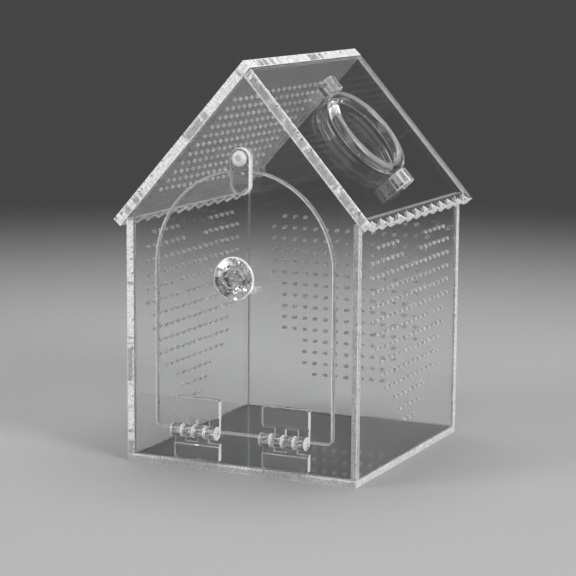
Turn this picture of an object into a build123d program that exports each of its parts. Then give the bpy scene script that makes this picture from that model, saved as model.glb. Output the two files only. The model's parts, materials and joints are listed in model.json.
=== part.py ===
from build123d import *
import os
from math import atan, cos, degrees, pi, radians, sin, tan

# A small gabled terrarium of clear acrylic sheet, for one tarantula. The arched door swings down on two
# hinges, a turning latch holds its top, and a ring on the right roof sheet carries the whole cabin.
# Air holes fill a heart on each side panel.
# X points right, Y to the back and Z up, in millimetres and degrees.
# The origin is the middle of the base's underside.

# Cabin
CABIN_WIDTH = 100.0
CABIN_DEPTH = 106.0
WALL_SHEET = 3.0
SHOULDER_HEIGHT = 101.6
ROOF_PITCH = 48.35

# Roof
ROOF_SHEET = 4.0
EAVE_OVERHANG = 4.4
NOTCH_PITCH = 8.75
NOTCH_DEPTH = 3.0
NOTCH_MOUTH = 7.2
NOTCH_END_GAP = 2.4

# Air holes in the side panels. Each row of the heart, from the top, has its nearest and farthest column,
# counted from the heart's middle column to both sides.
AIR_HOLE_DIAMETER = 1.5
AIR_HOLE_SIDES = 4
AIR_HOLE_PITCH = 4.93
AIR_HOLE_ROW_PITCH = 5.64
HEART_TOP = 90.8
HEART_MIDDLE = 1.0
HEART_LOBES = [(3, 7), (2, 8)]
HEART_BODY = [(0, 8)] * 4 + [(0, 7)] * 2 + [(0, 6)] * 2
HEART_TIP = [(0, 5), (0, 3), (0, 2), (0, 1)]

# Door
DOOR_WIDTH = 76.0
DOOR_HEIGHT = 103.55
DOOR_SILL = 16.1
DOOR_KERF = 0.4
DOOR_CORNER = 2.0

# Door stop, behind the front panel
STOP_WIDTH = 14.0
STOP_THICKNESS = 3.0
STOP_LAP = 2.3
STOP_CORNER = 1.0
STOP_NUT_GAP = 0.3

# Latch and its screw
LATCH_WIDTH = 8.4
LATCH_LENGTH = 18.4
LATCH_THICKNESS = 3.0
LATCH_DOOR_GAP = 0.45
LATCH_PLAY = 0.15
LATCH_BORE_CLEARANCE = 0.08
LATCH_SCREW_DIAMETER = 3.0
LATCH_HEAD_DIAMETER = 6.2
LATCH_HEAD_HEIGHT = 2.2
LATCH_HEAD_CROWN_DIAMETER = 3.0
LATCH_SCREW_TAIL = 0.6
NUT_ACROSS_FLATS = 5.5
NUT_THICKNESS = 2.4

# Knob and its screw
KNOB_DIAMETER = 17.0
KNOB_HEIGHT = 10.7
KNOB_LEVEL = 79.0
KNOB_RIM = 1.6
KNOB_CROWN = 2.4
KNOB_TABLE_DIAMETER = 7.4
KNOB_DIMPLE_DIAMETER = 4.7
KNOB_DIMPLE_DEPTH = 1.2
KNOB_FACETS = 12
KNOB_WAIST_DIAMETER = 6.6
KNOB_FOOT_DIAMETER = 8.2
KNOB_FOOT = 2.6
KNOB_SCREW_DIAMETER = 3.0
KNOB_SCREW_DEPTH = 4.5
KNOB_SCREW_HEAD_DIAMETER = 5.6
KNOB_SCREW_HEAD_HEIGHT = 1.8
KNOB_SCREW_CROWN_DIAMETER = 3.4

# Hinges
HINGE_WIDTH = 20.0
HINGE_SPACING = 38.6
KNUCKLE_COUNT = 4
KNUCKLE_GAP = 0.3
BARREL_DIAMETER = 5.4
BARREL_WALL_GAP = 0.3
HINGE_PIN_DIAMETER = 1.6
HINGE_PIN_CLEARANCE = 0.05
LEAF_THICKNESS = 1.5
LEAF_NOTCH = 4.6
LEAF_REACH_UP = 13.2
LEAF_REACH_DOWN = 12.1
LEAF_PAD_START = 5.8
LEAF_PAD_RISE = 0.7
LEAF_CORNER = 0.8

# Ring handle on the right roof panel
RING_DIAMETER = 36.1
RING_BAR = 4.7
RING_FORWARD = 6.75
RING_LIFT = 3.2
RING_SIDES = 48
NECK_WIDTH = 3.8
NECK_DEPTH = 4.0
NECK_CLEARANCE = 0.1
BLOCK_LENGTH = 6.0
BLOCK_WIDTH = 8.0
BLOCK_HEIGHT = 6.5
BLOCK_CORNER = 2.0
BLOCK_RING_GAP = 0.05

# Screws in general: the room round a shank in its hole, and the flats that make a head round
SCREW_CLEARANCE = 0.1
SCREW_HEAD_SIDES = 16
SCREW_HEAD_EDGE = 0.6

# Places that follow from the sizes
FRONT = -CABIN_DEPTH / 2
BACK = CABIN_DEPTH / 2
LEFT = -CABIN_WIDTH / 2
RIGHT = CABIN_WIDTH / 2
SLOPE = tan(radians(ROOF_PITCH))

# The left panel covers the ends of the front and back panels, so the gable stands off centre by half a sheet
GABLE_HALF = (CABIN_WIDTH - WALL_SHEET) / 2
RIDGE_X = WALL_SHEET / 2
APEX_HEIGHT = SHOULDER_HEIGHT + GABLE_HALF * SLOPE

# How far down the slope from the ridge the eaves lie, and the middle of the ring
LEFT_EAVE = (RIDGE_X - LEFT) / cos(radians(ROOF_PITCH)) + EAVE_OVERHANG
RIGHT_EAVE = (RIGHT - RIDGE_X) / cos(radians(ROOF_PITCH)) + EAVE_OVERHANG
RING_DOWN_SLOPE = RIGHT_EAVE / 2

DOOR_TOP = DOOR_SILL + DOOR_HEIGHT
DOOR_SPRING = DOOR_TOP - DOOR_WIDTH / 2
LATCH_HEIGHT = DOOR_TOP + DOOR_KERF + LATCH_DOOR_GAP + LATCH_WIDTH / 2
HINGE_Y = FRONT - BARREL_DIAMETER / 2 - BARREL_WALL_GAP
HINGE_Z = DOOR_SILL

# The ring's bar has eight flats
RING_FLAT = RING_BAR * tan(pi / 8)
RING_BEVEL = (RING_BAR - RING_FLAT) / 2
BLOCK_INSIDE = (RING_DIAMETER + RING_BAR) / 2 + BLOCK_RING_GAP


def roof_plane(side):
    """The underside of the roof: side +1 right, -1 left. X runs down the slope and Z out of the roof."""
    pitch = radians(ROOF_PITCH)
    down = (side * cos(pitch), 0, -sin(pitch))
    out = (side * sin(pitch), 0, cos(pitch))
    return Plane(origin=(RIDGE_X, 0, APEX_HEIGHT), x_dir=down, z_dir=out)


def block(x, y, z):
    """A block between the limits x, y and z, each a pair."""
    middle = [(low + high) / 2 for low, high in (x, y, z)]
    return Pos(*middle) * Box(x[1] - x[0], y[1] - y[0], z[1] - z[0])


def upright(face, front, thickness):
    """A face drawn with X and Z as its axes, made a sheet that goes back from y = front."""
    return Pos(0, front + thickness, 0) * extrude(Plane.XZ * face, thickness)


def along_y(x, z, radius, front, length):
    """A round bar or bore along Y, from y = front towards the back."""
    return upright(Pos(x, z) * Circle(radius), front, length)


def sideways(face, left, thickness):
    """A face drawn with Y and Z as its axes, made a sheet that goes right from x = left."""
    return Pos(left, 0, 0) * extrude(Plane.YZ * face, thickness)


def tapered(start, end, sides, height):
    """A many-sided block up Z, with its diameters at its foot and at its top."""
    inset = cos(pi / sides) * abs(start - end) / 2
    face = RegularPolygon(max(start, end) / 2, sides)
    solid = extrude(face, height, taper=degrees(atan(inset / height)))
    return solid if start >= end else Pos(0, 0, height) * Rot(180, 0, 0) * solid


def air_hole_heart():
    """The heart of air holes in a side panel, as faces with Y and Z as their axes."""
    holes = []
    for row, (nearest, farthest) in enumerate(HEART_LOBES + HEART_BODY + HEART_TIP):
        level = HEART_TOP - row * AIR_HOLE_ROW_PITCH
        for column in range(-farthest, farthest + 1):
            if abs(column) >= nearest:
                place = Pos(HEART_MIDDLE + column * AIR_HOLE_PITCH, level)
                holes.append(place * RegularPolygon(AIR_HOLE_DIAMETER / 2, AIR_HOLE_SIDES))
    return holes


def gable_face():
    """The outline of the front and back panels, from the base up to the underside of the roof."""
    low = WALL_SHEET
    left = RIDGE_X - GABLE_HALF
    right = RIDGE_X + GABLE_HALF
    return make_face(
        Polyline(
            (left, low),
            (right, low),
            (right, SHOULDER_HEIGHT),
            (RIDGE_X, APEX_HEIGHT),
            (left, SHOULDER_HEIGHT),
            close=True,
        )
    )


def door_face(margin):
    """The round-topped outline of the door, grown by a margin all round."""
    half = DOOR_WIDTH / 2 + margin
    sill = DOOR_SILL - margin
    straight = Pos(RIDGE_X, (sill + DOOR_SPRING) / 2) * Rectangle(2 * half, DOOR_SPRING - sill)
    arch = Pos(RIDGE_X, DOOR_SPRING) * Circle(half)
    outline = straight + arch
    corners = outline.vertices().sort_by(Axis.Y)[:2]
    return fillet(corners, DOOR_CORNER + margin)


def base_panel():
    return block((LEFT, RIGHT), (FRONT, BACK), (0, WALL_SHEET))


def front_panel():
    """The gable with the doorway and the latch screw's hole cut out of it."""
    sheet = upright(gable_face() - door_face(DOOR_KERF), FRONT, WALL_SHEET)
    hole = LATCH_SCREW_DIAMETER / 2 + SCREW_CLEARANCE
    return sheet - along_y(RIDGE_X, LATCH_HEIGHT, hole, FRONT, WALL_SHEET)


def back_panel():
    return upright(gable_face(), BACK - WALL_SHEET, WALL_SHEET)


def side_face(front, back, top):
    """A side panel's face, from the base up, with its air holes."""
    face = Pos((front + back) / 2, (WALL_SHEET + top) / 2) * Rectangle(back - front, top - WALL_SHEET)
    return face - air_hole_heart()


def left_side_panel():
    """Runs the full depth, with its top cut square where its outer edge meets the roof."""
    top = APEX_HEIGHT - (RIDGE_X - LEFT) * SLOPE
    return sideways(side_face(FRONT, BACK, top), LEFT, WALL_SHEET)


def right_side_panel():
    """Stands between the front and back panels, as high as their shoulders."""
    face = side_face(FRONT + WALL_SHEET, BACK - WALL_SHEET, SHOULDER_HEIGHT)
    return sideways(face, RIGHT - WALL_SHEET, WALL_SHEET)


def roof_panel(side):
    """One roof sheet, with V notches along its eave. The left sheet runs on over the right one's end."""
    lean = radians(2 * ROOF_PITCH - 90)
    eave, top = (RIGHT_EAVE, 0) if side > 0 else (LEFT_EAVE, -ROOF_SHEET / cos(lean))
    sheet = Pos((top + eave) / 2, 0) * Rectangle(eave - top, CABIN_DEPTH)
    first = FRONT + NOTCH_END_GAP
    count = int((CABIN_DEPTH - 2 * NOTCH_END_GAP) / NOTCH_PITCH) + 1
    for i in range(count):
        middle = first + i * NOTCH_PITCH
        sheet -= make_face(
            Polyline(
                (eave - NOTCH_DEPTH, middle),
                (eave, middle - NOTCH_MOUTH / 2),
                (eave, middle + NOTCH_MOUTH / 2),
                close=True,
            )
        )
    return extrude(roof_plane(side) * sheet, ROOF_SHEET)


def door_panel():
    """The door, flush with the front panel, with the knob screw's hole."""
    sheet = upright(door_face(0), FRONT, WALL_SHEET)
    hole = KNOB_SCREW_DIAMETER / 2 + SCREW_CLEARANCE
    return sheet - along_y(RIDGE_X, KNOB_LEVEL, hole, FRONT, WALL_SHEET)


def door_stop():
    """A tab glued behind the front panel, which the top of the door closes against."""
    low = DOOR_TOP - STOP_LAP
    high = LATCH_HEIGHT - NUT_ACROSS_FLATS / 2 - STOP_NUT_GAP
    face = Pos(RIDGE_X, (low + high) / 2) * Rectangle(STOP_WIDTH, high - low)
    face = chamfer(face.vertices(), STOP_CORNER)
    return upright(face, FRONT + WALL_SHEET, STOP_THICKNESS)


def latch_plate():
    """A round-ended plate that hangs from its screw over the top of the door."""
    tail = LATCH_LENGTH - LATCH_WIDTH
    face = Pos(RIDGE_X, LATCH_HEIGHT - tail / 2) * Rot(0, 0, 90) * SlotOverall(LATCH_LENGTH, LATCH_WIDTH)
    face -= Pos(RIDGE_X, LATCH_HEIGHT) * Circle(LATCH_SCREW_DIAMETER / 2 + LATCH_BORE_CLEARANCE)
    return upright(face, FRONT - LATCH_PLAY - LATCH_THICKNESS, LATCH_THICKNESS)


def screw(level, seat, way, shank, head):
    """A screw along Y. Its head lies on y = seat, and faces way: -1 the front, +1 the back.

    shank is (diameter, length), and head is (diameter, crown diameter, height).
    """
    diameter, crown, height = head
    edge = extrude(RegularPolygon(diameter / 2, SCREW_HEAD_SIDES), SCREW_HEAD_EDGE)
    dome = Pos(0, 0, SCREW_HEAD_EDGE) * tapered(diameter, crown, SCREW_HEAD_SIDES, height - SCREW_HEAD_EDGE)
    stem = Cylinder(shank[0] / 2, shank[1], align=(Align.CENTER, Align.CENTER, Align.MAX))
    return Plane(origin=(RIDGE_X, seat, level), z_dir=(0, way, 0)).location * (edge + dome + stem)


def latch_screw():
    """The screw that the latch turns on: its shank passes through the front panel to the nut."""
    seat = FRONT - 2 * LATCH_PLAY - LATCH_THICKNESS
    tip = FRONT + WALL_SHEET + NUT_THICKNESS + LATCH_SCREW_TAIL
    head = (LATCH_HEAD_DIAMETER, LATCH_HEAD_CROWN_DIAMETER, LATCH_HEAD_HEIGHT)
    return screw(LATCH_HEIGHT, seat, -1, (LATCH_SCREW_DIAMETER, tip - seat), head)


def latch_nut():
    face = Pos(RIDGE_X, LATCH_HEIGHT) * RegularPolygon(NUT_ACROSS_FLATS / 2, 6, major_radius=False)
    face -= Pos(RIDGE_X, LATCH_HEIGHT) * Circle(LATCH_SCREW_DIAMETER / 2 + SCREW_CLEARANCE)
    return upright(face, FRONT + WALL_SHEET, NUT_THICKNESS)


def door_knob():
    """A clear knob: a foot and a waist, facets that widen to a round rim, and a faceted, dimpled crown."""
    rim_back = KNOB_HEIGHT - KNOB_CROWN - KNOB_RIM
    up = (Align.CENTER, Align.CENTER, Align.MIN)
    foot = tapered(KNOB_FOOT_DIAMETER, KNOB_WAIST_DIAMETER, KNOB_FACETS, KNOB_FOOT)
    cup = tapered(KNOB_WAIST_DIAMETER, KNOB_DIAMETER, KNOB_FACETS, rim_back - KNOB_FOOT)
    rim = Pos(0, 0, rim_back) * Cylinder(KNOB_DIAMETER / 2, KNOB_RIM, align=up)
    crown = tapered(KNOB_DIAMETER, KNOB_TABLE_DIAMETER, KNOB_FACETS, KNOB_CROWN)
    knob = foot + Pos(0, 0, KNOB_FOOT) * cup + rim + Pos(0, 0, rim_back + KNOB_RIM) * crown
    dimple_point = KNOB_DIMPLE_DIAMETER / KNOB_FACETS
    dimple = Pos(0, 0, KNOB_HEIGHT - KNOB_DIMPLE_DEPTH) * tapered(
        dimple_point, KNOB_DIMPLE_DIAMETER, KNOB_FACETS, KNOB_DIMPLE_DEPTH
    )
    bore = Cylinder(KNOB_SCREW_DIAMETER / 2 + SCREW_CLEARANCE, KNOB_SCREW_DEPTH + SCREW_CLEARANCE, align=up)
    return Pos(RIDGE_X, FRONT, KNOB_LEVEL) * Rot(90, 0, 0) * (knob - dimple - bore)


def knob_screw():
    """Goes through the door from inside and holds the knob."""
    shank = (KNOB_SCREW_DIAMETER, WALL_SHEET + KNOB_SCREW_DEPTH)
    head = (KNOB_SCREW_HEAD_DIAMETER, KNOB_SCREW_CROWN_DIAMETER, KNOB_SCREW_HEAD_HEIGHT)
    return screw(KNOB_LEVEL, FRONT + WALL_SHEET, 1, shank, head)


def hinge_leaf(middle, way):
    """One leaf with its knuckles: way +1 goes up the door, and -1 down the front panel."""
    reach = LEAF_REACH_UP if way > 0 else LEAF_REACH_DOWN
    first = 1 if way > 0 else 0
    edge = 0 if way > 0 else DOOR_KERF
    left = middle - HINGE_WIDTH / 2
    step = HINGE_WIDTH / KNUCKLE_COUNT

    def level(distance):
        return HINGE_Z + way * distance

    def plate(start, thickness):
        face = Pos(middle, level((start + reach) / 2)) * Rectangle(HINGE_WIDTH, reach - start)
        far_corners = face.vertices().sort_by(Axis.Y)
        far_corners = far_corners[-2:] if way > 0 else far_corners[:2]
        return upright(chamfer(far_corners, LEAF_CORNER), FRONT - thickness, thickness)

    leaf = plate(LEAF_NOTCH, LEAF_THICKNESS) + plate(LEAF_PAD_START, LEAF_THICKNESS + LEAF_PAD_RISE)
    bore_radius = HINGE_PIN_DIAMETER / 2 + HINGE_PIN_CLEARANCE
    for i in range(first, KNUCKLE_COUNT, 2):
        start = left + i * step + KNUCKLE_GAP / 2
        end = left + (i + 1) * step - KNUCKLE_GAP / 2
        web = sorted((level(edge), level(LEAF_NOTCH)))
        leaf += block((start, end), (FRONT - LEAF_THICKNESS, FRONT), web)
        centre = Plane(origin=(start, HINGE_Y, HINGE_Z), z_dir=(1, 0, 0))
        leaf += extrude(centre * Circle(BARREL_DIAMETER / 2), end - start)
        leaf -= extrude(centre * Circle(bore_radius), end - start)
    return leaf


def hinge_pin(middle):
    start = Plane(origin=(middle - HINGE_WIDTH / 2, HINGE_Y, HINGE_Z), z_dir=(1, 0, 0))
    return extrude(start * Circle(HINGE_PIN_DIAMETER / 2), HINGE_WIDTH)


def ring_disc(way):
    """A disc bounded by the ring's outer flats, way +1, or by its inner ones, way -1."""
    middle = RING_DIAMETER + way * RING_BAR
    ends = RING_DIAMETER + way * RING_FLAT
    disc = Pos(0, 0, -RING_FLAT / 2) * tapered(middle, middle, RING_SIDES, RING_FLAT)
    disc += Pos(0, 0, RING_FLAT / 2) * tapered(middle, ends, RING_SIDES, RING_BEVEL)
    return disc + Pos(0, 0, -RING_BAR / 2) * tapered(ends, middle, RING_SIDES, RING_BEVEL)


def neck(width, near, far):
    """An eight-sided bar along the slope, from near to far, measured from the middle of the ring."""
    section = Plane.YZ * RegularPolygon(width / 2, 8, major_radius=False, rotation=22.5)
    return Pos(near, 0, 0) * extrude(section, far - near)


def ring_place():
    """The middle of the ring: X runs down the slope and Z out of the roof."""
    return roof_plane(1).location * Pos(RING_DOWN_SLOPE, -RING_FORWARD, ROOF_SHEET + RING_LIFT)


def handle_ring():
    """The round ring, held parallel to the right roof panel, with a neck into each block."""
    ring = ring_disc(1) - ring_disc(-1)
    tip = BLOCK_INSIDE + NECK_DEPTH
    ring += neck(NECK_WIDTH, RING_DIAMETER / 2, tip)
    ring += neck(NECK_WIDTH, -tip, -RING_DIAMETER / 2)
    return ring_place() * ring


def handle_block(end):
    """A block glued to the roof, with a hole for the ring's neck: end -1 is up the slope and +1 down it."""
    section = Pos(0, BLOCK_HEIGHT / 2 - RING_LIFT) * Rectangle(BLOCK_WIDTH, BLOCK_HEIGHT)
    section = chamfer(section.vertices().group_by(Axis.Y)[-1], BLOCK_CORNER)
    near, far = sorted((end * BLOCK_INSIDE, end * (BLOCK_INSIDE + BLOCK_LENGTH)))
    solid = Pos(near, 0, 0) * extrude(Plane.YZ * section, far - near)
    near, far = sorted((end * BLOCK_INSIDE, end * (BLOCK_INSIDE + NECK_DEPTH + NECK_CLEARANCE)))
    solid -= neck(NECK_WIDTH + 2 * NECK_CLEARANCE, near, far)
    return ring_place() * solid


HINGE_MIDDLES = {
    "left": RIDGE_X - HINGE_SPACING / 2,
    "right": RIDGE_X + HINGE_SPACING / 2,
}

PARTS = {
    "base_panel": base_panel(),
    "front_panel": front_panel(),
    "back_panel": back_panel(),
    "left_side_panel": left_side_panel(),
    "right_side_panel": right_side_panel(),
    "left_roof_panel": roof_panel(-1),
    "right_roof_panel": roof_panel(1),
    "door_panel": door_panel(),
    "door_stop": door_stop(),
    "latch_plate": latch_plate(),
    "latch_screw": latch_screw(),
    "latch_nut": latch_nut(),
    "door_knob": door_knob(),
    "knob_screw": knob_screw(),
    "handle_ring": handle_ring(),
    "handle_upper_block": handle_block(-1),
    "handle_lower_block": handle_block(1),
}
for side, middle in HINGE_MIDDLES.items():
    PARTS[f"{side}_hinge_upper_leaf"] = hinge_leaf(middle, 1)
    PARTS[f"{side}_hinge_lower_leaf"] = hinge_leaf(middle, -1)
    PARTS[f"{side}_hinge_pin"] = hinge_pin(middle)

os.makedirs("parts", exist_ok=True)
for name, part in PARTS.items():
    export_step(part, f"parts/{name}.step")
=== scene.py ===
# %% [markdown]
# # A tarantula terrarium of clear acrylic
#
# The real object is a small gabled cabin, laser cut from clear acrylic sheet and glued together. An arched
# door swings down on two clear hinges, a turning latch holds its top, and a ring on the roof carries it.
#
# The CAD model already has every solid in its right place, so the script starts from it. Each node of the
# model arrives as a mesh at the origin, in metres, with its place in its vertices. What is left to do here
# is the look: polished faces, laser cut edges, round air holes, smooth mouldings, a stage and soft light.

# %% Load the CAD model
import json
import math

import bmesh
import bpy
from mathutils import Matrix, Vector


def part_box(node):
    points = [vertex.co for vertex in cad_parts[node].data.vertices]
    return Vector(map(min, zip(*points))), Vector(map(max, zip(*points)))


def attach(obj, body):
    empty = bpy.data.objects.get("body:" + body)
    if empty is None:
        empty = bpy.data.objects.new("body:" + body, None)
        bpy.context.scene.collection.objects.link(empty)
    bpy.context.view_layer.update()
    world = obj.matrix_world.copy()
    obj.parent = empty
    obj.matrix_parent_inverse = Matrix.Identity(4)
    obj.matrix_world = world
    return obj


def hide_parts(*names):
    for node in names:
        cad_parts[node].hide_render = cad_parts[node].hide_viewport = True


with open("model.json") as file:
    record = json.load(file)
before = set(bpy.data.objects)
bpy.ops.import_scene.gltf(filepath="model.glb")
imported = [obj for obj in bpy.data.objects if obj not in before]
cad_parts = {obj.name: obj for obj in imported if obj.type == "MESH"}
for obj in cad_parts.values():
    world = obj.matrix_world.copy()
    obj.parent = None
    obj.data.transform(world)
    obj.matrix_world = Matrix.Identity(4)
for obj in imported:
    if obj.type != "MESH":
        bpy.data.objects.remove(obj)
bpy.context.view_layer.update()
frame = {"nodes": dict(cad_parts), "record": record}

MM = 0.001
nodes = frame["nodes"]

# %% [markdown]
# ## The camera
#
# A camera can be placed by eye, or worked out from the photograph. Here the sheet corners, the door and
# the rows of holes were fitted to one lens, which gives a long lens about 0.86 m away, a little above the
# cabin and to its right. The camera looks at a point inside the cabin, and leans by under half a degree.

# %% Camera at the photograph's angle
EYE = Vector((355.1, -759.8, 205.7)) * MM
AIM = Vector((-7.7, 7.1, 64.7)) * MM
LEAN = math.radians(0.38)

camera_data = bpy.data.cameras.new("Camera")
camera_data.sensor_width = 36
camera_data.lens = 129.6
camera_data.clip_start = 0.05
camera = bpy.data.objects.new("Camera", camera_data)
bpy.context.scene.collection.objects.link(camera)
turn = (AIM - EYE).to_track_quat("-Z", "Y").to_matrix().to_4x4()
camera.matrix_world = Matrix.Translation(EYE) @ turn @ Matrix.Rotation(LEAN, 4, "Z")
bpy.context.scene.camera = camera
bpy.context.scene.view_settings.view_transform = "Standard"
print("Camera distance in mm:", round((AIM - EYE).length / MM))

# %% [markdown]
# ## The stage
#
# Clear plastic has almost no colour of its own: what we see in it is the room. A flat floor with a straight
# horizon would draw a hard line through every sheet, so the floor rises in a curve on all sides, like a
# photographer's sweep turned through a full circle. It is plain and pale, and it looks the same from
# every side. It lies a hair below the cabin, because two faces in one place would flicker.

# %% A round sweep
FLOOR_GAP = 0.03 * MM
FLOOR_RADIUS = 1.5
SWEEP_RADIUS = 0.9
WALL_TOP = 1.5
CURVE_STEPS = 16
SWEEP_STEPS = 64
SAME_POINT = 0.0001 * MM


def new_object(name, mesh):
    """A mesh as an object at the origin, linked to the scene."""
    obj = bpy.data.objects.new(name, mesh)
    bpy.context.scene.collection.objects.link(obj)
    return obj


def lathe(name, profile, steps):
    """Turns a profile of (radius, height) points round Z, with its doubles merged and its faces outwards."""
    bm = bmesh.new()
    ring = [bm.verts.new((radius, 0, height)) for radius, height in profile]
    edges = [bm.edges.new(pair) for pair in zip(ring, ring[1:])]
    bmesh.ops.spin(
        bm, geom=ring + edges, cent=(0, 0, 0), axis=(0, 0, 1), angle=2 * math.pi, steps=steps
    )
    bmesh.ops.remove_doubles(bm, verts=bm.verts, dist=SAME_POINT)
    bmesh.ops.recalc_face_normals(bm, faces=bm.faces)
    for face in bm.faces:
        face.smooth = True
    mesh = bpy.data.meshes.new(name)
    bm.to_mesh(mesh)
    bm.free()
    return new_object(name, mesh)


sweep_profile = [(0.0, -FLOOR_GAP), (FLOOR_RADIUS, -FLOOR_GAP)]
for i in range(1, CURVE_STEPS + 1):
    angle = math.radians(90 * i / CURVE_STEPS)
    out, up = SWEEP_RADIUS * math.sin(angle), SWEEP_RADIUS * (1 - math.cos(angle))
    sweep_profile.append((FLOOR_RADIUS + out, up - FLOOR_GAP))
sweep_profile.append((FLOOR_RADIUS + SWEEP_RADIUS, WALL_TOP))
sweep = lathe("studio_sweep", sweep_profile, SWEEP_STEPS)

# %% [markdown]
# The floor's paint is a plain pale grey. Clear plastic shows best where pale and dark tones meet in it, so
# away from the cabin the sweep goes over to a dark grey, as a steady light that only direct, mirrored and
# see-through rays meet. No extra light falls on the cabin, and the floor near it keeps its shadow.

# %% Pale paint for the sweep
PAPER = (0.43, 0.43, 0.43, 1)
DISTANCE_GREY = (0.06, 0.06, 0.06, 1)
EVEN_FROM = 0.22
EVEN_TO = 0.85


def feed(tree, socket, source):
    """Fills an input, from another node's socket or with a plain value."""
    if isinstance(source, bpy.types.NodeSocket):
        tree.links.new(source, socket)
    else:
        socket.default_value = source


def wire(tree, kind, **sources):
    """Adds a node and fills its inputs by name."""
    node = tree.nodes.new(kind)
    for name, source in sources.items():
        feed(tree, node.inputs[name.replace("_", " ")], source)
    return node


def maths(tree, operation, *values):
    """The result of a Math node, whose inputs are filled in order."""
    node = tree.nodes.new("ShaderNodeMath")
    node.operation = operation
    for socket, value in zip(node.inputs, values):
        feed(tree, socket, value)
    return node.outputs[0]


sweep_paint = bpy.data.materials.new("Pale sweep paint")
sweep_paint.use_nodes = True
tree = sweep_paint.node_tree
paint_shader = tree.nodes["Principled BSDF"]
paint_shader.inputs["Base Color"].default_value = PAPER
paint_shader.inputs["Roughness"].default_value = 0.7
paint_shader.inputs["Specular IOR Level"].default_value = 0.1
place = wire(tree, "ShaderNodeTexCoord").outputs["Object"]
away = wire(tree, "ShaderNodeVectorMath", Vector=place)
away.operation = "LENGTH"
even = wire(tree, "ShaderNodeMapRange", Value=away.outputs["Value"], From_Min=EVEN_FROM, From_Max=EVEN_TO)
even.interpolation_type = "SMOOTHSTEP"
path = wire(tree, "ShaderNodeLightPath").outputs
seen = maths(tree, "ADD", path["Is Camera Ray"], path["Is Glossy Ray"])
seen = maths(tree, "MINIMUM", maths(tree, "ADD", seen, path["Is Transmission Ray"]), 1.0)
glow = wire(tree, "ShaderNodeEmission", Color=DISTANCE_GREY, Strength=1.0)
mix = wire(tree, "ShaderNodeMixShader", Fac=maths(tree, "MULTIPLY", even.outputs["Result"], seen))
tree.links.new(paint_shader.outputs[0], mix.inputs[1])
tree.links.new(glow.outputs[0], mix.inputs[2])
tree.links.new(mix.outputs[0], tree.nodes["Material Output"].inputs["Surface"])
sweep.data.materials.append(sweep_paint)

# %% [markdown]
# ## The light
#
# Four area lamps stand round the cabin: a key at the front left, a fill at the right, a broad one overhead,
# and a weak one before the cabin, which the knob's facets and the sheets' faces mirror. Large lamps give
# soft edges, and their long reflections are what shows that a sheet is glossy. The world adds an even, weak
# light from above the sweep.

# %% Lamps and world
CABIN_MIDDLE = Vector((0, 0, 0.08))


def area_lamp(name, place, width, height, power):
    """A rectangular lamp that faces the cabin's middle."""
    data = bpy.data.lights.new(name, "AREA")
    data.shape = "RECTANGLE"
    data.size = width
    data.size_y = height
    data.energy = power
    lamp = bpy.data.objects.new(name, data)
    bpy.context.scene.collection.objects.link(lamp)
    lamp.location = place
    lamp.rotation_euler = (CABIN_MIDDLE - Vector(place)).to_track_quat("-Z", "Y").to_euler()
    lamp.visible_camera = False


area_lamp("key_lamp", (-1.0, -1.1, 0.75), width=0.7, height=0.8, power=9)
area_lamp("fill_lamp", (1.2, -0.5, 0.6), width=0.45, height=1.0, power=12)
area_lamp("top_lamp", (0.0, 0.3, 1.4), width=1.2, height=0.8, power=9)
area_lamp("front_lamp", (0.41, -1.13, 0.57), width=0.6, height=0.6, power=2.5)

# A line of sight through the cabin crosses many sheets, so it may bend and mirror more often than usual.
light_paths = bpy.context.scene.cycles
light_paths.max_bounces = 40
light_paths.transmission_bounces = 40
light_paths.glossy_bounces = 20

world = bpy.data.worlds.new("Studio")
bpy.context.scene.world = world
world.use_nodes = True
sky = world.node_tree.nodes["Background"]
sky.inputs["Color"].default_value = (1.0, 1.0, 1.0, 1)
sky.inputs["Strength"].default_value = 0.35

# %% [markdown]
# ## The finishes
#
# Four plastics make this object. Cast acrylic is polished on its faces and dull where the laser has cut it,
# so one sheet needs two materials or more. The hinges and the handle are moulded, with a slight haze. The
# rounds of their edges, rings at the ends of the hinge barrels and the knob's rim are satin, a painted
# highlight that makes them read as pale lines. The knob is as clear as glass, and the screws are milky
# nylon. All are one shader, Principled, with its transmission turned up. Noise in the object's own
# coordinates gives each a fine, uneven surface.

# %% One recipe for all the clear plastics
ACRYLIC_IOR = 1.49


def plastic(name, color, transmission, roughness, spread, grain, relief):
    """A clear plastic whose roughness wanders by spread, with a relief, in mm, of the same grain."""
    material = bpy.data.materials.new(name)
    material.use_nodes = True
    tree = material.node_tree
    shader = tree.nodes["Principled BSDF"]
    shader.inputs["Base Color"].default_value = (*color, 1)
    shader.inputs["Transmission Weight"].default_value = transmission
    shader.inputs["IOR"].default_value = ACRYLIC_IOR
    place = wire(tree, "ShaderNodeTexCoord").outputs["Object"]
    noise = wire(tree, "ShaderNodeTexNoise", Vector=place, Scale=grain, Detail=4.0).outputs["Fac"]
    low = max(0.0, roughness - spread)
    dull = wire(tree, "ShaderNodeMapRange", Value=noise, To_Min=low, To_Max=roughness + spread)
    bump = wire(tree, "ShaderNodeBump", Height=noise, Distance=relief * MM)
    tree.links.new(dull.outputs["Result"], shader.inputs["Roughness"])
    tree.links.new(bump.outputs["Normal"], shader.inputs["Normal"])
    return material


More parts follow.
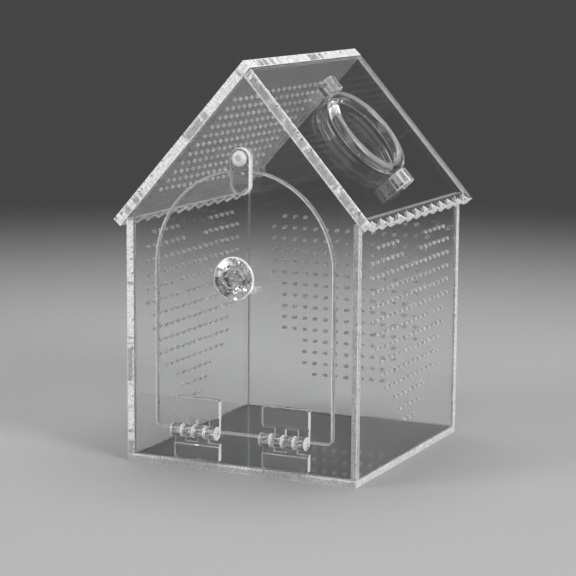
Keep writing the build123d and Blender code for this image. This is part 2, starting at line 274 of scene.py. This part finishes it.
# The numbers are the colour, transmission, roughness, its spread, grain per metre and relief.
polished = plastic("Polished acrylic face", (0.985, 0.99, 0.99), 1.0, 0.012, 0.008, 90, 0.01)
bored = plastic("Laser cut hole wall", (0.99, 0.99, 0.99), 0.2, 0.55, 0.1, 900, 0.04)
moulded = plastic("Clear moulded plastic", (0.975, 0.98, 0.98), 1.0, 0.03, 0.02, 250, 0.02)
# Satin stands for a painted highlight: it makes rounds, barrel ends and the knob's rim read as pale lines.
highlight_satin = plastic("Painted highlight satin plastic", (0.97, 0.975, 0.975), 0.3, 0.3, 0.08, 500, 0.03)
crystal = plastic("Crystal clear plastic", (0.98, 0.985, 0.99), 1.0, 0.01, 0.005, 200, 0.004)
nylon = plastic("Milky nylon", (0.96, 0.96, 0.95), 0.4, 0.14, 0.06, 600, 0.02)

# %% [markdown]
# A laser leaves its own mark on an edge. Streaks run straight through the sheet, and a white line lies a
# little inside one of the borders, with a few dark specks beside it. A white line along each border is a
# painted highlight, for the light that the polished corner refracts. Some edges come out frosted with a few
# clear patches, others clear with a few frosted streaks, others white, and the rest even. The streaks have
# to turn with the sheet, so they read a place that is kept in the mesh: X and Y in the sheet's own plane,
# and Z from 0 on one face to 1 on the other.

# %% The laser cut edges
SHEET = 3 * MM
STREAK_GRAIN = 330
PATCH_GRAIN = 45
SPECK_GRAIN = 700
MOTTLE_GRAIN = 1150
STREAK_DRIFT = 0.1 * SHEET
CLEAR_STREAK_DRIFT = 0.15 * SHEET

# A band goes over from its third number to its fourth while a value goes from the first to the second.
CLARITY = {
    "frosted": (1.02, 1.08, 0.1, 0.8),
    "clear": (0.014, 0.028, 0.12, 0.85),
    "white": (0.3, 0.7, 0.05, 0.25),
    "even": (0.3, 0.7, 0.5, 0.7),
}
# The white line along each border is a painted highlight: there the transmission falls away.
BORDER_HIGHLIGHT = (0.38, 0.43, 1.0, 0.1)
INNER_LINE_AT = 0.8
INNER_LINE = (0.02, 0.04, 0.15, 1.0)
MOTTLE = (0.4, 0.6, 0.7, 1.0)
SPECK = (0.64, 0.68, 1.0, 0.3)
SPECKS_BEGIN = (0.55, 0.7, 0.0, 1.0)


def band(tree, value, start, end, low, high):
    """Goes from low to high while the value goes from start to end."""
    node = wire(
        tree, "ShaderNodeMapRange", Value=value, From_Min=start, From_Max=end, To_Min=low, To_Max=high
    )
    return node.outputs["Result"]


def off_middle(tree, value, middle):
    """How far the value lies from a middle, to either side."""
    return maths(tree, "ABSOLUTE", maths(tree, "SUBTRACT", value, middle))


def cut_edge(name, kind):
    """A laser cut edge: frosted with clear patches, clear with frosted streaks, white, or even."""
    material = plastic(name, (0.97, 0.975, 0.975), 0.35, 0.4, 0.12, 900, 0.06)
    tree = material.node_tree
    shader = tree.nodes["Principled BSDF"]
    kept = wire(tree, "ShaderNodeAttribute")
    kept.attribute_name = "sheet_place"
    x, y, through = wire(tree, "ShaderNodeSeparateXYZ", Vector=kept.outputs["Vector"]).outputs

    def grain(scale, drift, detail):
        """Noise in the sheet's plane, that moves on by drift metres through the sheet."""
        point = wire(tree, "ShaderNodeCombineXYZ", X=x, Y=y, Z=maths(tree, "MULTIPLY", through, drift))
        noise = wire(tree, "ShaderNodeTexNoise", Vector=point.outputs[0], Scale=scale, Detail=detail)
        return noise.outputs["Fac"]

    if kind == "frosted":
        patch = grain(PATCH_GRAIN, 0.0, 1.0)
        streak = maths(tree, "ADD", grain(STREAK_GRAIN, STREAK_DRIFT, 4.0), patch)
    elif kind == "clear":
        streak = off_middle(tree, grain(STREAK_GRAIN, CLEAR_STREAK_DRIFT, 2.0), 0.5)
    else:
        streak = grain(STREAK_GRAIN, STREAK_DRIFT, 2.0)
    # A painted highlight: each border of the edge turns white.
    border_highlight = band(tree, off_middle(tree, through, 0.5), *BORDER_HIGHLIGHT)
    inner_line = band(tree, off_middle(tree, through, INNER_LINE_AT), *INNER_LINE)
    clear = maths(tree, "MULTIPLY", band(tree, streak, *CLARITY[kind]), border_highlight)
    clear = maths(tree, "MULTIPLY", clear, inner_line)
    tree.links.new(clear, shader.inputs["Transmission Weight"])

    mottle = band(tree, grain(MOTTLE_GRAIN, SHEET, 2.0), *MOTTLE)
    speck = band(tree, grain(SPECK_GRAIN, SHEET, 1.0), *SPECK)
    speck = maths(tree, "MAXIMUM", speck, maths(tree, "SUBTRACT", 1.0, band(tree, through, *SPECKS_BEGIN)))
    tone = maths(tree, "MULTIPLY", mottle, speck)
    grey = wire(tree, "ShaderNodeCombineXYZ", X=tone, Y=tone, Z=tone)
    tree.links.new(grey.outputs[0], shader.inputs["Base Color"])
    return material


frosted_cut = cut_edge("Frosted laser cut edge", "frosted")
clear_cut = cut_edge("Clear laser cut edge", "clear")
white_cut = cut_edge("White laser cut edge", "white")
even_cut = cut_edge("Even laser cut edge", "even")
CUT = {
    "left_roof_panel": frosted_cut,
    "left_side_panel": frosted_cut,
    "latch_plate": frosted_cut,
    "right_side_panel": white_cut,
    "back_panel": white_cut,
    "right_roof_panel": clear_cut,
}

# %% [markdown]
# ## Sheets with laser cut edges
#
# A CAD node is a set of loose triangles, good to look at but hard to bevel, so each sheet is copied, its
# doubles are merged, and its flat parts are joined back into single faces. The copy is drawn in by a hair,
# so that no two pieces share a face. Every face that looks along the sheet's thickness gets the polished
# finish, and the rest get the laser cut one. A fine bevel catches the light along every edge, as on real
# sheet. Where the laser has left a frosted border, the bevel is wider and takes the cut's finish.

# %% Copy a node and finish it
HAIR = 0.01 * MM
CAD_DOUBLE = 0.002 * MM
FLAT_WITHIN = math.radians(1)
SHARP = math.radians(30)
# The cosine above which two faces of a corner count as looking the same way.
SAME_WAY = 0.98
# In place of a material slot, this gives the rounds the finish of the faces beside them.
BESIDE = -1


def clean_copy(node):
    """The node's mesh with its doubles merged and its coplanar triangles joined."""
    bm = bmesh.new()
    bm.from_mesh(nodes[node].data)
    bmesh.ops.remove_doubles(bm, verts=bm.verts, dist=CAD_DOUBLE)
    bmesh.ops.dissolve_limit(bm, angle_limit=FLAT_WITHIN, verts=bm.verts, edges=bm.edges)
    return bm


def as_object(bm, name, *finishes):
    """The mesh as a new object, with its finishes in material slots 0, 1 and so on."""
    mesh = bpy.data.meshes.new(name)
    bm.to_mesh(mesh)
    bm.free()
    for finish in finishes:
        mesh.materials.append(finish)
    return new_object(name, mesh)


def applied(obj):
    """The object with its modifiers worked into its mesh."""
    bpy.context.view_layer.update()
    mesh = bpy.data.meshes.new_from_object(obj.evaluated_get(bpy.context.evaluated_depsgraph_get()))
    obj.modifiers.clear()
    obj.data = mesh
    return obj


def drawn_in(obj):
    """Moves every corner inwards by HAIR, away from each way that its faces look."""
    bm = bmesh.new()
    bm.from_mesh(obj.data)
    moves = {}
    for corner in bm.verts:
        ways = []
        for face in corner.link_faces:
            if all(face.normal.dot(way) < SAME_WAY for way in ways):
                ways.append(face.normal.copy())
        moves[corner] = sum(ways, Vector())
    for corner, move in moves.items():
        corner.co -= move * HAIR
    bm.to_mesh(obj.data)
    bm.free()
    return obj


def bevelled(obj, width, segments, finish):
    """Rounds the sharp edges, and shades the rounds smoothly while the large faces stay flat.

    finish is the material slot of the rounds, or BESIDE.
    """
    for face in obj.data.polygons:
        face.use_smooth = True
    bevel = obj.modifiers.new("Edge", "BEVEL")
    bevel.width = width
    bevel.segments = segments
    bevel.material = finish
    bevel.limit_method = "ANGLE"
    bevel.angle_limit = SHARP
    even = obj.modifiers.new("Flat faces", "WEIGHTED_NORMAL")
    even.mode = "FACE_AREA"
    even.weight = 100
    return applied(obj)


def rounded_shading(obj, degrees):
    """Smooth shading, with crisp edges where the surface turns by more than the degrees."""
    for face in obj.data.polygons:
        face.use_smooth = True
    obj.data.set_sharp_from_angle(angle=math.radians(degrees))
    return obj


def keep_place(sheet, plane, thickness):
    """Keeps each corner's place in the sheet's own plane for the streaks of its edges."""
    flat = plane.inverted()
    kept = sheet.data.attributes.new("sheet_place", "FLOAT_VECTOR", "POINT")
    for corner, entry in zip(sheet.data.vertices, kept.data):
        place = flat @ corner.co
        entry.vector = (place.x, place.y, place.z / thickness)
    return sheet


def stand_for(obj, node):
    """The piece rides where the node rode, and is shown instead of it."""
    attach(obj, obj_body[node])
    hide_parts(node)


bodies = frame["record"]["behaviour"]["bodies"]
obj_body = {node: body for body, members in bodies.items() for node in members}

# %% [markdown]
# Each sheet is named with the way that looks straight through it. The right roof sheet leans by the roof's
# pitch, which the front panel's gable gives. A few ends get the white cut finish.

# %% Finish the plain sheets
HALF_GABLE = 48.5 * MM
pitch = math.atan2(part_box("front_panel")[1].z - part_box("right_side_panel")[1].z, HALF_GABLE)
# The cosine above which a face looks straight through its sheet.
THROUGH = 0.99
FACE_SLOT, CUT_SLOT, WHITE_SLOT = 0, 1, 2
SHEETS = {
    "base_panel": (0, 0, 1),
    "front_panel": (0, 1, 0),
    "door_panel": (0, 1, 0),
    "door_stop": (0, 1, 0),
    "latch_plate": (0, 1, 0),
    "right_roof_panel": (math.sin(pitch), 0, math.cos(pitch)),
}
# The bevel's width in mm and its finish.
FINE_BEVEL = (0.12, BESIDE)
BEVELS = {
    "latch_plate": (0.35, CUT_SLOT),
    "right_roof_panel": (0.25, WHITE_SLOT),
    "base_panel": (0.2, WHITE_SLOT),
    "door_panel": (0.2, CUT_SLOT),
    "front_panel": (0.2, CUT_SLOT),
}
# The way that a white end looks, and the cosine above which a face looks that way.
WHITE_ENDS = {
    "base_panel": [((1, 0, 0), 0.9)],
    "right_roof_panel": [((math.cos(pitch), 0, -math.sin(pitch)), 0.5), ((0, 1, 0), 0.9)],
}

for node, across in SHEETS.items():
    across = Vector(across)
    white_ends = WHITE_ENDS.get(node, [])
    bm = clean_copy(node)
    for face in bm.faces:
        face.material_index = FACE_SLOT if abs(face.normal.dot(across)) > THROUGH else CUT_SLOT
        if any(face.normal.dot(Vector(way)) > least for way, least in white_ends):
            face.material_index = WHITE_SLOT
    finishes = [polished, CUT.get(node, even_cut)] + ([white_cut] if white_ends else [])
    sheet = drawn_in(as_object(bm, node + "_sheet", *finishes))
    width, finish = BEVELS.get(node, FINE_BEVEL)
    bevelled(sheet, width * MM, segments=1, finish=finish)
    levels = [corner.co.dot(across) for corner in sheet.data.vertices]
    lean = across.to_track_quat("Z", "Y").to_matrix().to_4x4()
    keep_place(sheet, Matrix.Translation(across * min(levels)) @ lean, max(levels) - min(levels))
    stand_for(sheet, node)
    print(sheet.name, len(sheet.data.polygons), "faces")

# %% [markdown]
# ## Perforated sheets
#
# The side panels, the back panel and the left roof sheet have hundreds of round air holes. Cutting them one
# by one with booleans is slow and leaves bad faces. Geometry Nodes do it from a drawing instead: a flat
# mesh carries the sheet's outline as edges and each hole's middle as a loose point. The tree puts a circle
# on every point, fills the space between outline and circles, and gives it a thickness.

# %% The perforated sheet tree
HOLE_DIAMETER = 1.5 * MM
HOLE_SIDES = 14
SAME_CORNER = 0.001 * MM


def perforated_sheet_tree():
    """A node group that makes a sheet with round holes from a flat drawing."""
    tree = bpy.data.node_groups.new("Perforated sheet", "GeometryNodeTree")
    face = tree.interface
    face.new_socket("Geometry", in_out="OUTPUT", socket_type="NodeSocketGeometry")
    face.new_socket("Drawing", in_out="INPUT", socket_type="NodeSocketGeometry")
    for name, kind, value in (
        ("Thickness", "NodeSocketFloat", SHEET),
        ("Hole diameter", "NodeSocketFloat", HOLE_DIAMETER),
        ("Hole sides", "NodeSocketInt", HOLE_SIDES),
    ):
        face.new_socket(name, in_out="INPUT", socket_type=kind).default_value = value
    for name in ("Face finish", "Edge finish", "Hole finish"):
        face.new_socket(name, in_out="INPUT", socket_type="NodeSocketMaterial")

    def add(kind, **sources):
        return wire(tree, kind, **sources)

    def joined(*parts):
        join = add("GeometryNodeJoinGeometry")
        for part in parts:
            tree.links.new(part, join.inputs[0])
        return join.outputs[0]

    given = tree.nodes.new("NodeGroupInput").outputs
    outline = add("GeometryNodeMeshToCurve", Mesh=given["Drawing"]).outputs["Curve"]
    neighbours = tree.nodes.new("GeometryNodeInputMeshVertexNeighbors").outputs["Vertex Count"]
    loose = add("FunctionNodeCompare")
    loose.data_type = "INT"
    loose.operation = "EQUAL"
    tree.links.new(neighbours, loose.inputs[2])
    loose.inputs[3].default_value = 0
    points = add("GeometryNodeMeshToPoints", Mesh=given["Drawing"], Selection=loose.outputs[0])
    radius = maths(tree, "DIVIDE", given["Hole diameter"], 2.0)
    circle = add("GeometryNodeCurvePrimitiveCircle", Resolution=given["Hole sides"], Radius=radius)
    circles = add(
        "GeometryNodeInstanceOnPoints", Points=points.outputs[0], Instance=circle.outputs["Curve"]
    )
    real_circles = add("GeometryNodeRealizeInstances", Geometry=circles.outputs[0])
    flat = add("GeometryNodeFillCurve", Curve=joined(real_circles.outputs[0], outline))
    depth = add("ShaderNodeCombineXYZ", Z=given["Thickness"])
    raised = add("GeometryNodeExtrudeMesh", Mesh=flat.outputs[0], Offset=depth.outputs[0], Individual=False)
    under = add("GeometryNodeFlipFaces", Mesh=flat.outputs[0])
    closed = joined(under.outputs[0], raised.outputs["Mesh"])
    merged = add("GeometryNodeMergeByDistance", Geometry=closed, Distance=SAME_CORNER)
    real = add("GeometryNodeRealizeInstances", Geometry=merged.outputs[0])

    # The finishes: first the faces, then every side, then those sides that stand close to a hole's middle.
    middles = add("GeometryNodeProximity", Geometry=points.outputs[0])
    middles.target_element = "POINTS"
    near = maths(tree, "LESS_THAN", middles.outputs["Distance"], given["Thickness"])
    bore = maths(tree, "MULTIPLY", near, raised.outputs["Side"])
    finished = add("GeometryNodeSetMaterial", Geometry=real.outputs[0], Material=given["Face finish"])
    for side, finish in ((raised.outputs["Side"], "Edge finish"), (bore, "Hole finish")):
        finished = add(
            "GeometryNodeSetMaterial", Geometry=finished.outputs[0], Selection=side, Material=given[finish]
        )
    result = tree.nodes.new("NodeGroupOutput")
    tree.links.new(finished.outputs[0], result.inputs[0])
    return tree


perforated = perforated_sheet_tree()
print("Perforated sheet tree:", len(perforated.nodes), "nodes")

# %% [markdown]
# The drawing comes from the CAD node: the outline is the longest loop round its outer face. A panel whose
# CAD solid already has its holes, as plain squares, gives their middles too. Elsewhere the rows of holes
# are laid out here.

# %% Read a sheet's outline and holes


def loop_length(loop):
    """The length of a closed loop of points."""
    return sum((a - b).length for a, b in zip(loop, loop[1:] + loop[:1]))


def loops(node, plane):
    """The closed loops round the node's lower face, longest first, in the plane's own X and Y."""
    flat = plane.inverted()
    bm = clean_copy(node)
    down = -(plane.to_3x3() @ Vector((0, 0, 1)))
    lower = {face for face in bm.faces if face.normal.dot(down) > THROUGH}
    rims = {edge for edge in bm.edges if len([f for f in edge.link_faces if f in lower]) == 1}
    found = []
    while rims:
        edge = rims.pop()
        first, corner = edge.verts
        loop = [first.co.copy()]
        while corner is not first:
            loop.append(corner.co.copy())
            edge = next(e for e in corner.link_edges if e in rims)
            rims.remove(edge)
            corner = edge.other_vert(corner)
        found.append([(flat @ point).to_2d() for point in loop])
    bm.free()
    return sorted(found, key=loop_length, reverse=True)


def slots_in_use(obj):
    """Drops the empty material slots, and keeps every face's finish."""
    slots = list(obj.data.materials)
    finishes = [finish for finish in slots if finish]
    numbers = [finishes.index(slots[face.material_index]) for face in obj.data.polygons]
    obj.data.materials.clear()
    for finish in finishes:
        obj.data.materials.append(finish)
    obj.data.polygons.foreach_set("material_index", numbers)
    return obj


def perforate(node, plane, thickness, middles=None):
    """The node's sheet with round holes. The plane's Z goes through the sheet from its lower face."""
    outline, *holes = loops(node, plane)
    if middles is None:
        middles = [sum(hole, Vector((0, 0))) / len(hole) for hole in holes]
    count = len(outline)
    mesh = bpy.data.meshes.new(node + "_drawing")
    mesh.from_pydata(
        [(*point, 0) for point in outline + middles], [(i, (i + 1) % count) for i in range(count)], []
    )
    sheet = new_object(node + "_sheet", mesh)
    maker = sheet.modifiers.new("Perforated sheet", "NODES")
    maker.node_group = perforated
    inputs = [item for item in perforated.interface.items_tree if item.in_out == "INPUT"]
    sockets = {item.name: item.identifier for item in inputs}
    maker[sockets["Thickness"]] = thickness
    maker[sockets["Face finish"]] = polished
    maker[sockets["Edge finish"]] = CUT.get(node, even_cut)
    maker[sockets["Hole finish"]] = bored
    drawn_in(slots_in_use(applied(sheet)))
    keep_place(sheet, Matrix.Identity(4), thickness)
    sheet.data.transform(plane)
    stand_for(sheet, node)
    print(sheet.name, len(middles), "holes,", len(sheet.data.polygons), "faces")


def plane_of(origin, x, y):
    """A drawing plane from its origin and its X and Y directions."""
    x, y = Vector(x), Vector(y)
    axes = Matrix((x, y, x.cross(y))).transposed().to_4x4()
    return Matrix.Translation(origin) @ axes


# %% Cut the air holes
HOLE_PITCH = 4.93 * MM
BACK_HEART_TOP = 88.5 * MM
# For each row of the back panel's heart, the columns between which it has holes, to both sides alike.
BACK_HEART = [(4, 6)] + [(0, 7)] * 5 + [(0, 6)] * 5 + [(0, 4)] * 3 + [(0, 3)]
ROOF_SHEET = 4 * MM
ROOF_FIRST_ROW = 14.46 * MM
ROOF_ROWS = 11
ROOF_COLUMNS = 17

for node in ("left_side_panel", "right_side_panel"):
    low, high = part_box(node)
    perforate(node, plane_of((low.x, 0, 0), (0, 1, 0), (0, 0, 1)), high.x - low.x)

low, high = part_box("back_panel")
heart = [
    Vector((column * HOLE_PITCH, BACK_HEART_TOP - row * HOLE_PITCH))
    for row, (nearest, farthest) in enumerate(BACK_HEART)
    for column in range(-farthest, farthest + 1)
    if abs(column) >= nearest
]
perforate("back_panel", plane_of((0, high.y, 0), (1, 0, 0), (0, 0, 1)), high.y - low.y, heart)

low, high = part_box("front_panel")
ridge = Vector(((low.x + high.x) / 2, 0, high.z))
down_left = (-math.cos(pitch), 0, -math.sin(pitch))
grid = [
    Vector((ROOF_FIRST_ROW + row * HOLE_PITCH, (column - (ROOF_COLUMNS - 1) / 2) * HOLE_PITCH))
    for row in range(ROOF_ROWS)
    for column in range(ROOF_COLUMNS)
]
perforate("left_roof_panel", plane_of(ridge, down_left, (0, -1, 0)), ROOF_SHEET, grid)

# %% [markdown]
# ## Hinges, blocks and the nut
#
# These are moulded, so their edges are softly rounded. The CAD shapes are right; copies of them with wider
# bevels and smooth shading give the moulded look, and the bevels are satin, a painted highlight along the
# rounds. Each barrel of a hinge shows a pale line at both ends, where light gathers, so a narrow ring of its
# wall is satin too, as a painted highlight, and so are the sides of the leaves.

# %% Round the edges of the mouldings
MOULDINGS = {
    "handle_upper_block": (moulded, "moulded_plastic", 0.35),
    "handle_lower_block": (moulded, "moulded_plastic", 0.35),
    "latch_nut": (nylon, "clear_nylon", 0.2),
}
for side in ("left", "right"):
    for piece in ("hinge_upper_leaf", "hinge_lower_leaf", "hinge_pin"):
        MOULDINGS[f"{side}_{piece}"] = (moulded, "moulded_plastic", 0.22)
BARREL_REACH = 2.8 * MM
HIGHLIGHT_RING = 0.4 * MM
HIGHLIGHT_SLOT = 1
# The cosine above which a face looks to one side.
SIDEWAYS = 0.9


def highlighted_ends(bm, axis):
    """Puts the painted highlight satin on the leaf's sides and on a ring of barrel wall by each end."""
    ends = {round(face.calc_center_median().x, 5) for face in bm.faces if abs(face.normal.x) > SIDEWAYS}
    for cut in [end + way * HIGHLIGHT_RING for end in ends for way in (-1, 1)]:
        everything = list(bm.verts) + list(bm.edges) + list(bm.faces)
        bmesh.ops.bisect_plane(bm, geom=everything, plane_co=(cut, 0, 0), plane_no=(1, 0, 0))
    for face in bm.faces:
        middle = face.calc_center_median()
        is_end = abs(face.normal.x) > SIDEWAYS
        is_barrel = all((corner.co - axis).yz.length < BARREL_REACH for corner in face.verts)
        is_beside = any(abs(middle.x - end) < HIGHLIGHT_RING for end in ends)
        # A ring of barrel wall by each end, and the leaf's sides, get satin as a painted highlight.
        highlight_wall = is_barrel and is_beside and not is_end
        face.material_index = HIGHLIGHT_SLOT if highlight_wall or (is_end and not is_barrel) else 0


for node, (finish, slot, radius) in MOULDINGS.items():
    bm = clean_copy(node)
    if "hinge" in node:
        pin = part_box(node.split("_")[0] + "_hinge_pin")
        highlighted_ends(bm, (pin[0] + pin[1]) / 2)
    piece = drawn_in(as_object(bm, node + "_moulding", finish, highlight_satin))
    # The satin rounds are a painted highlight along the moulding's edges.
    bevelled(piece, radius * MM, segments=2, finish=HIGHLIGHT_SLOT)
    stand_for(piece, node)
    print(piece.name, len(piece.data.polygons), "faces")

# %% [markdown]
# ## Screws
#
# The two screws are turned, not moulded. Each has a low round head with a rounded rim and a round socket in
# it, and the socket's floor and wall are what give the head of a clear screw its bright middle. A profile
# starts at the tip, in the middle of the shank, goes up its outside and over the head, and ends in the
# middle of the socket's floor. Height 0 is where the head sits. Its underside sinks in by a hair, so that
# it shares no face with its seat.

# %% Turn the screws
# Diameters of shank and head, the head's height, the socket's diameter, all in mm, and the way that the
# head looks: -1 for forwards and 1 for backwards.
SCREWS = {"latch_screw": (3.0, 6.2, 2.2, 2.6, -1), "knob_screw": (3.0, 5.6, 1.8, 2.4, 1)}
TIP_BEVEL = (0.3, 0.4)
HEAD_SINKS = 0.02
RIM_HEIGHT = 0.45
DOME_INSET = 0.12
DOME_HEIGHT = 0.75
DOME_TURN = math.radians(75)
DOME_STEPS = 6
DOME_TO_SOCKET = 0.25
# How far outside the socket's wall each corner lies, and how far below the top of the head.
SOCKET_WALL = [(0.08, 0.05), (0.0, 0.2), (-0.12, 0.65)]
# How far from the screw's middle each corner lies, and how far below the top of the head.
SOCKET_FLOOR = [(0.3, 0.75), (0.0, 0.6)]
SCREW_STEPS = 40


def screw_profile(shank, head, height, socket, length):
    """A screw's profile of (radius, height) points in mm."""
    shank, head, socket = shank / 2, head / 2, socket / 2
    tip_in, tip_up = TIP_BEVEL
    points = [(0.0, -length), (shank - tip_in, -length), (shank, tip_up - length), (shank, -HEAD_SINKS)]
    points += [(head, -HEAD_SINKS), (head, RIM_HEIGHT), (head - DOME_INSET, DOME_HEIGHT)]
    reach = head - DOME_INSET - socket - DOME_TO_SOCKET
    for i in range(1, DOME_STEPS + 1):
        angle = DOME_TURN * i / DOME_STEPS
        inwards = (1 - math.cos(angle)) / (1 - math.cos(DOME_TURN))
        upwards = math.sin(angle) / math.sin(DOME_TURN)
        points.append((head - DOME_INSET - reach * inwards, DOME_HEIGHT + (height - DOME_HEIGHT) * upwards))
    points += [(socket + outside, height - below) for outside, below in SOCKET_WALL]
    points += [(radius, height - below) for radius, below in SOCKET_FLOOR]
    return points


for node, (shank, head, height, socket, way) in SCREWS.items():
    low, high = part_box(node)
    length = (high.y - low.y) / MM - height
    profile = screw_profile(shank, head, height, socket, length)
    piece = lathe(node + "_turned", [(radius * MM, level * MM) for radius, level in profile], SCREW_STEPS)
    piece.data.materials.append(nylon)
    rounded_shading(piece, degrees=40)
    middle = (low + high) / 2
    seat = Vector((middle.x, high.y - height * MM if way > 0 else low.y + height * MM, middle.z))
    piece.data.transform(Matrix.Translation(seat) @ Matrix.Rotation(math.radians(-90 * way), 4, "X"))
    stand_for(piece, node)
    print(piece.name, len(piece.data.polygons), "faces")

# %% [markdown]
# ## The ring handle
#
# The ring is one round bar bent into a circle. A torus would do, but a circle swept along a circle in
# Geometry Nodes keeps both sizes as named inputs, and any bar could follow any path in the same way. A
# short round neck stands on each side and is joined to the ring with a boolean, so that no face is left
# inside the clear plastic, where it would show.

# %% A bar swept round a circle
RING_DIAMETER = 36.1 * MM
RING_BAR = 4.66 * MM
RING_STEPS = 128
BAR_SIDES = 32
NECK_DIAMETER = 3.75 * MM
NECK_MIDDLE = 21.2 * MM
NECK_LENGTH = 6.4 * MM
NECK_SIDES = 24


def swept_ring_tree():
    """A node group that makes a ring of round bar with a neck on either side."""
    tree = bpy.data.node_groups.new("Swept ring", "GeometryNodeTree")
    face = tree.interface
    face.new_socket("Geometry", in_out="OUTPUT", socket_type="NodeSocketGeometry")
    for name, kind, value in (
        ("Ring diameter", "NodeSocketFloat", RING_DIAMETER),
        ("Bar diameter", "NodeSocketFloat", RING_BAR),
        ("Neck diameter", "NodeSocketFloat", NECK_DIAMETER),
        ("Finish", "NodeSocketMaterial", moulded),
    ):
        face.new_socket(name, in_out="INPUT", socket_type=kind).default_value = value
    given = tree.nodes.new("NodeGroupInput").outputs
    ring_radius = maths(tree, "DIVIDE", given["Ring diameter"], 2.0)
    bar_radius = maths(tree, "DIVIDE", given["Bar diameter"], 2.0)
    neck_radius = maths(tree, "DIVIDE", given["Neck diameter"], 2.0)
    path = wire(tree, "GeometryNodeCurvePrimitiveCircle", Resolution=RING_STEPS, Radius=ring_radius)
    bar = wire(tree, "GeometryNodeCurvePrimitiveCircle", Resolution=BAR_SIDES, Radius=bar_radius)
    swept = wire(tree, "GeometryNodeCurveToMesh", Curve=path.outputs[0], Profile_Curve=bar.outputs[0])
    rod = wire(tree, "GeometryNodeMeshCylinder", Vertices=NECK_SIDES, Radius=neck_radius, Depth=NECK_LENGTH)
    joined = tree.nodes.new("GeometryNodeMeshBoolean")
    joined.operation = "UNION"
    parts = joined.inputs["Mesh 2"]
    tree.links.new(swept.outputs[0], parts)
    for way in (1, -1):
        neck = wire(
            tree,
            "GeometryNodeTransform",
            Geometry=rod.outputs[0],
            Translation=(way * NECK_MIDDLE, 0, 0),
            Rotation=(0, math.pi / 2, 0),
        )
        tree.links.new(neck.outputs[0], parts)
    real = wire(tree, "GeometryNodeRealizeInstances", Geometry=joined.outputs[0])
    finished = wire(tree, "GeometryNodeSetMaterial", Geometry=real.outputs[0], Material=given["Finish"])
    result = tree.nodes.new("NodeGroupOutput")
    tree.links.new(finished.outputs[0], result.inputs[0])
    return tree


ring = new_object("ring_handle", bpy.data.meshes.new("ring_handle"))
ring.modifiers.new("Swept ring", "NODES").node_group = swept_ring_tree()
rounded_shading(applied(ring), degrees=35)
low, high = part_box("handle_ring")
ring.data.transform(Matrix.Translation((low + high) / 2) @ Matrix.Rotation(pitch, 4, "Y"))
stand_for(ring, "handle_ring")
print(ring.name, len(ring.data.polygons), "faces")

# %% [markdown]
# ## The knob
#
# The knob is a clear turned cup: a foot and a waist, a cone that widens to a round rim, and a crown with a
# raised ring and a dimple. Twelve flats on the back of the cone throw light and dark wedges forward
# through the crown, which is what makes it look like cut crystal. A lathe makes the round shape, and the
# cone's corners are then drawn in to the flats. The narrow rim is satin, a painted highlight that shows as
# a pale ring all round, where light catches the rim's round edge.

# %% Turn the knob
KNOB_PROFILE = [
    (0.0, 4.6), (1.6, 4.6), (1.6, 0.02), (4.0, 0.02), (4.1, 0.15), (4.05, 0.6), (3.65, 1.3), (3.35, 1.9),
    (3.3, 2.3), (8.1, 7.1), (8.4, 7.25), (8.5, 7.5), (8.5, 7.9), (8.4, 8.15), (8.05, 8.3), (5.4, 9.25),
    (5.2, 9.4), (5.05, 10.2), (4.8, 10.55), (4.4, 10.68), (3.9, 10.68), (3.6, 10.5), (3.4, 10.1), (3.2, 9.7),
    (2.8, 9.5), (0.9, 9.4), (0.8, 9.6), (0.5, 9.7), (0.0, 9.7),
]  # fmt: skip
KNOB_STEPS = 96
KNOB_FLATS = 12
BORE_REACH = 2 * MM
FLATS_FROM = 2.4 * MM
FLATS_TO = 7.15 * MM
HIGHLIGHT_RIM_FROM = 8.15 * MM

profile = [(radius * MM, height * MM) for radius, height in KNOB_PROFILE]
knob = lathe("cut_crystal_knob", profile, KNOB_STEPS)
wedge = 2 * math.pi / KNOB_FLATS
for corner in knob.data.vertices:
    radius = math.hypot(corner.co.x, corner.co.y)
    if FLATS_FROM < corner.co.z < FLATS_TO and radius > BORE_REACH:
        turn = math.atan2(corner.co.y, corner.co.x) % wedge - wedge / 2
        corner.co.xy *= math.cos(wedge / 2) / math.cos(turn)
knob.data.materials.append(crystal)
knob.data.materials.append(highlight_satin)
# The rim's satin faces are a painted highlight, a pale ring all round.
for face in knob.data.polygons:
    radius = math.hypot(face.center.x, face.center.y)
    face.material_index = HIGHLIGHT_SLOT if radius > HIGHLIGHT_RIM_FROM and face.center.z > FLATS_TO else 0
rounded_shading(knob, degrees=16)
low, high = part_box("door_knob")
seat = Vector(((low.x + high.x) / 2, high.y, (low.z + high.z) / 2))
knob.data.transform(Matrix.Translation(seat) @ Matrix.Rotation(math.radians(90), 4, "X"))
stand_for(knob, "door_knob")
print(knob.name, len(knob.data.polygons), "faces")
